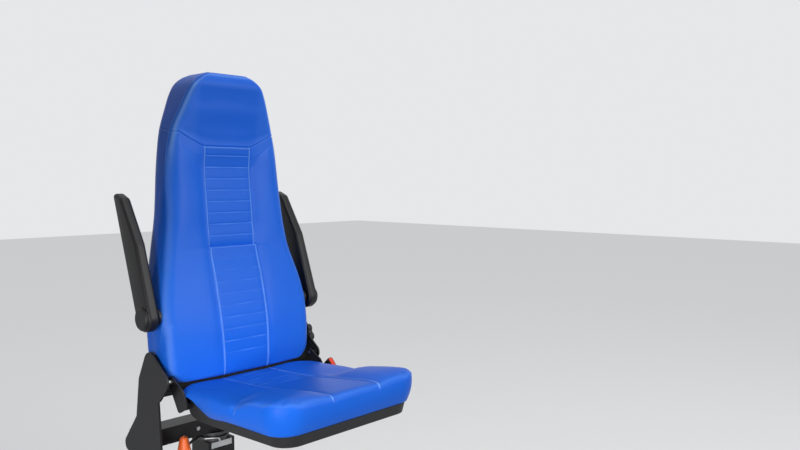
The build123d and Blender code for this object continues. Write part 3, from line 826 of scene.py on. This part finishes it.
# %% Grid of the cushion's top
edge_lines = (0.0, 0.0006, 0.0018, 0.0036, 0.0062, 0.0095, 0.0135, 0.018, 0.0235, 0.031)
seam_lines = (-0.0085, -0.0055, -0.0035, -0.0018, 0.0, 0.0018, 0.0035, 0.0055, 0.0085)


def grid_lines(low, high, seams, spacing=0.008):
    """Places of the grid's lines in one direction, between an outline's two edges."""
    lines = {low + wall_inset + step for step in edge_lines}
    lines |= {high - wall_inset - step for step in edge_lines}
    lines |= {seam + step for seam in seams for step in seam_lines}
    lines = {round(float(line), 5) for line in lines}
    for line in np.arange(low + 0.036, high - 0.036, spacing):
        if min(abs(line - other) for other in lines) > 0.4 * spacing:
            lines.add(round(float(line), 5))
    return np.array(sorted(lines))


def round_corners(x, y):
    """Draws the corner squares of the plan onto quarter discs, and gives the depth inside."""
    half = cushion_half - wall_inset
    low, high = cushion_front + wall_inset, cushion_rear - wall_inset
    bend = cushion_corner - wall_inset
    into_x = np.clip(np.abs(x) - (half - bend), 0.0, None) / bend
    into_y = np.clip(np.maximum(y - (high - bend), (low + bend) - y), 0.0, None) / bend
    most = np.maximum(into_x, into_y)
    size = np.maximum(np.hypot(into_x, into_y), 1e-9)
    corner = (into_x > 0) & (into_y > 0)
    shrink = np.where(corner, most / size, 1.0)
    new_x = np.where(corner, np.sign(x) * (half - bend + bend * into_x * shrink), x)
    new_x += np.sign(x) * wall_wider * rise(np.abs(x), 0.11, 0.22) * rise(-y, 0.13, 0.24)
    ends = np.where(y > (low + high) / 2, 1.0, -1.0)
    base = np.where(ends > 0, high - bend, low + bend)
    new_y = np.where(corner, base + ends * bend * into_y * shrink, y)
    return new_x, new_y, bend * (1.0 - most)


lines_x = grid_lines(-cushion_half, cushion_half, (-panel_half, panel_half))
lines_y = grid_lines(cushion_front, cushion_rear, seat_pleats)
grid_x, grid_y = np.meshgrid(lines_x, lines_y)
plan_x, plan_y, depth = round_corners(grid_x, grid_y)
fall = top_round * (1 - np.sqrt(1 - (1 - np.clip(depth / top_round, 0.0, 1.0)) ** 2))
top_points = np.stack([plan_x, plan_y, top_height(plan_x, plan_y) - fall], -1)
print("top grid:", len(lines_x), "by", len(lines_y))

# %% [markdown]
# The wall is a stack of rings under the grid's edge. It bulges a little between the top and
# the pan's rim, as foam does in a fitted cover.

# %% Wall and underside of the cushion
wide, deep = len(lines_x), len(lines_y)
edge_ids = list(range(wide))
edge_ids += [row * wide + wide - 1 for row in range(1, deep)]
edge_ids += [(deep - 1) * wide + i for i in range(wide - 2, -1, -1)]
edge_ids += [row * wide for row in range(deep - 2, 0, -1)]
edge_ring = top_points.reshape(-1, 3)[edge_ids]
rim_gap = 0.0008
rim_height = along_profile(rim_profile, edge_ring[:, 1]) + rim_gap
centre = np.array([0.0, (cushion_front + cushion_rear) / 2])
wall_shares = (0.06, 0.16, 0.3, 0.45, 0.6, 0.74, 0.86, 0.94, 1.0)
under_shares = (0.03, 0.1, 0.3, 0.6, 0.85)
wall_bulge = 0.0028
pan_top, pan_slope = 0.466, 0.25


def seat_skin():
    """Points and faces of the cushion: the top grid, the wall rings and the underside."""
    points = [top_points.reshape(-1, 3)]
    faces = [(r * wide + c, r * wide + c + 1, (r + 1) * wide + c + 1, (r + 1) * wide + c)
             for r in range(deep - 1) for c in range(wide - 1)]
    away = edge_ring[:, :2] - np.roll(edge_ring[:, :2], 1, 0)
    away += np.roll(edge_ring[:, :2], -1, 0) - edge_ring[:, :2]
    away = np.column_stack([away[:, 1], -away[:, 0]])
    away /= np.maximum(np.linalg.norm(away, axis=1, keepdims=True), 1e-9)
    rings = []
    to_pan = ((pan_top - rim_height) * pan_slope)[:, None]
    for share in wall_shares:
        out = wall_bulge * sin(pi * share) - to_pan * share ** 1.7
        ring = np.column_stack([edge_ring[:, :2] + away * out,
                                edge_ring[:, 2] + (rim_height - edge_ring[:, 2]) * share])
        rings.append(ring)
    for share in under_shares:
        flat = centre + (edge_ring[:, :2] - away * to_pan - centre) * (1 - share)
        rings.append(np.column_stack([flat, along_profile(rim_profile, flat[:, 1]) + rim_gap]))
    count = len(edge_ids)
    upper = list(edge_ids)
    for ring in rings:
        start = sum(len(part) for part in points)
        points.append(ring)
        lower = list(range(start, start + count))
        for i in range(count):
            j = (i + 1) % count
            faces.append((upper[j], upper[i], lower[i], lower[j]))
        upper = lower
    faces.append(tuple(reversed(upper)))
    return np.concatenate(points), faces


seat_points, seat_faces = seat_skin()
seat_cover = skin("seat_cover", seat_points, seat_faces, vinyl, "cushion")
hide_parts("seat_cushion")

# %% [markdown]
# The cushion swells in the same way. Its wall by the hinge ears and everything low on the
# wall is held, and so are the two panel seams.

# %% Swell the cushion
place = places_of(seat_cover)
up = outward(seat_cover)[:, 2]
above_rim = place[:, 2] - along_profile(rim_profile, place[:, 1])
held = dip(np.abs(place[:, 0]) - panel_half, 0.005) * rise(up, 0.3, 0.7)
held = np.maximum(held, rise(place[:, 1], -0.13, -0.10) * rise(0.5 - up, 0.0, 0.3))
held = np.maximum(held, rise(0.020 - above_rim, 0.0, 0.012))
held = np.maximum(held, 0.7 * rise(0.35 - up, 0.0, 0.2))
held = np.maximum(held, 0.5 * rise(panel_half - np.abs(place[:, 0]), 0.0, 0.01))
seat_cap = 0.005
swell(seat_cover, held, seat_cap)

# %% [markdown]
# The cushion's relief: two raised panel seams with a groove inside each, which run on over the
# front edge, wrinkled pleats on the rear half of the panel, and a crease where each thigh
# bolster starts, deepest at the outer edge. Three small folds fan out from that deepest spot.
# Seams, pleats, crease, folds and the front edge's roll carry a painted highlight.

# %% Lines of the cushion's relief
# Sizes that are shares of 1 are painted highlight beside a line; the others are relief in metres.
panel_ridge, panel_groove = (0.0016, 0.0010, 0.0022), (-0.0020, -0.0034, 0.0022)
panel_seam_highlight = (1.0, 0.0009, 0.0017)
seat_groove, seat_puff = (-0.0026, 0.0, 0.0045), (0.0024, -0.0080, 0.0050)
seat_pleat_highlight = (0.30, -0.0060, 0.0045)
crease_puff, crease_highlight = (0.0018, -0.010, 0.006), (0.42, -0.0065, 0.0028)
small_groove, small_puff = (-0.0011, 0.0, 0.0040), (0.0009, 0.0070, 0.0045)
small_fold_highlight = (0.20, 0.0050, 0.0032)
print("small folds fan out by", [round(angle, 2) for angle in bolster_folds])


# %% Relief of the cushion
def seat_relief():
    """The height of the stitched relief and the painted highlight, at every point of the cushion.
    """
    place = places_of(seat_cover)
    normal = outward(seat_cover)
    ax = np.abs(place[:, 0])
    y, z = place[:, 1], place[:, 2]
    up = rise(normal[:, 2], 0.25, 0.7)
    over_edge = rise(z, 0.474, 0.481) * rise(-normal[:, 1], 0.3, 0.7)
    sewn = np.maximum(up, over_edge * rise(-y, 0.45, 0.48))
    height = (ridge(ax - panel_half, panel_ridge) + ridge(ax - panel_half, panel_groove)) * sewn
    stitch = rise(-y, 0.478, 0.486) * (1 - rise(-normal[:, 1], 0.86, 0.97))
    # Painted highlight along the panel seams, varied by chance and brighter at the front edge's
    # stitches.
    sewn_light = 0.34 + 0.22 * uneven(ax, y, 7) + 0.40 * stitch
    painted_highlight = sewn_light * ridge(ax - panel_half, panel_seam_highlight) * sewn
    inside = rise(panel_half - ax, -0.001, 0.004) * up
    for k, line in enumerate(seat_pleats):
        chance = 0.1 + 0.9 * rise(uneven(place[:, 0] * 0.8, y, k + 40), 0.2, 0.8)
        wavy = y - line - 0.0016 * np.sin(place[:, 0] * 90.0 + k)
        height += chance * (ridge(wavy, seat_groove) + ridge(wavy, seat_puff)) * inside
        painted_highlight += chance * ridge(wavy, seat_pleat_highlight) * inside
    crease = y - notch_y + 0.018 * rise(ax, 0.17, 0.24)
    reach = rise(ax, panel_half + 0.01, 0.16) * rise(z, 0.440, 0.452)
    height -= (0.0022 + 0.0036 * rise(ax, 0.20, 0.238)) * dip(crease, 0.0050) * reach
    height += ridge(crease, crease_puff) * reach
    painted_highlight += ridge(crease, crease_highlight) * reach * rise(ax, 0.208, 0.238)
    # Painted highlight on the rounded top edge of the front bolsters.
    painted_highlight += 0.16 * dip(normal[:, 2] - 0.74, 0.16) * rise(-y, 0.28, 0.34)
    inward, ahead = notch_x - ax, notch_y - y
    for angle in bolster_folds:
        along = inward * cos(angle) + ahead * sin(angle)
        across = inward * sin(angle) - ahead * cos(angle)
        there = rise(along, 0.012, 0.030) * (1 - rise(along, 0.050, 0.100)) * up
        height += (ridge(across, small_groove) + ridge(across, small_puff)) * there
        painted_highlight += ridge(across, small_fold_highlight) * there
    return height, painted_highlight


press(seat_cover, *seat_relief())
print("cushion has", len(seat_cover.data.polygons), "faces")

# %% [markdown]
# Sewing shows as single stitches. Each one is a tiny spindle of thread that lies on the cover
# beside its seam. A search tree of the finished skin drops every stitch onto the surface, and
# all stitches of one cover are joined into one piece.

# %% Stitches
stitch_pitch = 0.0055
stitch_length = 0.0038
stitch_radius = 0.0005
stitch_sides = 5
stitch_shoulders = (0.22, 0.78)


def stitch_row(surface, line):
    """Stitches along a line of points above a surface, as points and faces of one mesh."""
    line = np.asarray(line, float)
    run = np.concatenate([[0.0], np.cumsum(np.linalg.norm(np.diff(line, axis=0), axis=1))])
    points, faces = [], []
    for start in np.arange(0.0, run[-1] - stitch_length, stitch_pitch):
        ends = []
        for at in (start, start + stitch_length):
            guess = Vector([float(np.interp(at, run, line[:, axis])) for axis in range(3)])
            spot, normal = surface.find_nearest(guess)[:2]
            ends.append(spot + normal * stitch_radius * 0.4)
        along = ends[1] - ends[0]
        if along.length < 0.3 * stitch_length or along.length > 2 * stitch_length:
            continue
        side = along.normalized().cross(normal)
        base = len(points)
        points.append(ends[0])
        for share in stitch_shoulders:
            middle = ends[0] + along * share
            for turn in range(stitch_sides):
                angle = 2 * pi * turn / stitch_sides
                points.append(middle + (side * cos(angle) + normal * sin(angle)) * stitch_radius)
        points.append(ends[1])
        low, high, tip = base + 1, base + 1 + stitch_sides, base + 1 + 2 * stitch_sides
        for i in range(stitch_sides):
            j = (i + 1) % stitch_sides
            faces.append((base, low + j, low + i))
            faces.append((low + i, low + j, high + j, high + i))
            faces.append((high + i, high + j, tip))
    return points, faces


def sew(name, cover, lines, body):
    """One mesh of all the stitches along some lines on a cover."""
    corners = [vertex.co[:] for vertex in cover.data.vertices]
    sides_of = [polygon.vertices[:] for polygon in cover.data.polygons]
    surface = BVHTree.FromPolygons(corners, sides_of)
    points, faces = [], []
    for line in lines:
        more, sides = stitch_row(surface, line)
        faces += [tuple(i + len(points) for i in side) for side in sides]
        points += more
    return skin(name, [tuple(p) for p in points], faces, thread, body)


sewn_beside = (-0.0016, 0.0044)
line_step = 0.004
back_lines = []
for sign in (1, -1):
    for beside in sewn_beside:
        levels = np.arange(0.485, vee_height - 0.006, line_step)
        front = smooth_table(back_sections, levels)[1] - 0.006
        back_lines.append(np.column_stack([sign * (seam_half(levels) + beside), front, levels]))
steps = np.linspace(-0.072, 0.072, 30)
back_lines.append([(x, 0.044, vee_height - 0.0066) for x in steps])
back_stitches = sew("back_stitches", back_cover, back_lines, "backrest")

seat_lines = []
for sign in (1, -1):
    for beside in sewn_beside:
        spots = np.arange(cushion_front + 0.006, cushion_rear - 0.02, line_step)
        across = np.full(len(spots), sign * (panel_half + beside))
        seat_lines.append(np.column_stack([across, spots, along_profile(panel_profile, spots)]))
seat_stitches = sew("seat_stitches", seat_cover, seat_lines, "cushion")

# %% [markdown]
# The armrests are foam mouldings with a hard inner bar. Each is a wedge with a round boss at
# its pivot and a bevelled nose. Its outline is the hull round four circles, and rings of that
# outline, drawn in at both faces, give the soft rounded edge that carries the grey highlight
# in the photograph.

# %% Armrests
arm_y, arm_z = 0.022, 0.645
arm_lean = radians(20.0)
# along the arm, forward, radius
arm_circles = [(0.0, 0.0, 0.037), (0.200, 0.009, 0.030), (0.338, -0.007, 0.016),
               (0.361, -0.024, 0.010)]
arm_round = 0.009
arm_points = 220
circle_points = 90
least_radius = 0.002
edge_turns = np.linspace(0.0, pi / 2, 7)


def hull_outline(circles, inset):
    """The outline drawn tight round circles: the outermost of them in every direction."""
    cloud = []
    for along, forward, radius in circles:
        y = arm_y + along * sin(arm_lean) - forward * cos(arm_lean)
        z = arm_z + along * cos(arm_lean) + forward * sin(arm_lean)
        size = max(radius - inset, least_radius)
        turns = [2 * pi * k / circle_points for k in range(circle_points)]
        cloud += [(y + size * cos(turn), z + size * sin(turn)) for turn in turns]
    cloud = sorted(set(cloud))

    def half_hull(points):
        line = []
        for point in points:
            while len(line) >= 2:
                (ay, az), (by, bz) = line[-2], line[-1]
                if (by - ay) * (point[1] - az) - (bz - az) * (point[0] - ay) > 0:
                    break
                line.pop()
            line.append(point)
        return line

    edge = half_hull(cloud)[:-1] + half_hull(cloud[::-1])[:-1]
    edge.append(edge[0])
    edge = np.array(edge)
    run = np.concatenate([[0.0], np.cumsum(np.linalg.norm(np.diff(edge, axis=0), axis=1))])
    where = np.linspace(0.0, run[-1], arm_points, endpoint=False)
    return np.column_stack([np.interp(where, run, edge[:, 0]), np.interp(where, run, edge[:, 1])])


def arm_ring(across, inset):
    """The armrest's outline at one place across the seat, drawn in by an inset."""
    outline = hull_outline(arm_circles, inset)
    return np.column_stack([np.full(len(outline), across), outline])


for name, sign in (("left", 1), ("right", -1)):
    low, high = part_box(f"armrest_{name}")
    inner, outer = (low[0], high[0]) if sign > 0 else (high[0], low[0])
    rings = [arm_ring(inner + sign * arm_round * (1 - cos(turn)), arm_round * (1 - sin(turn)))
             for turn in edge_turns]
    rings += [arm_ring(outer - sign * arm_round * (1 - sin(turn)), arm_round * (1 - cos(turn)))
              for turn in edge_turns]
    if sign < 0:
        rings.reverse()
    faces = ring_faces(len(rings), arm_points)
    pad = skin(f"arm_pad_{name}", rings, faces, foam, f"arm_{name}")
    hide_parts(f"armrest_{name}")
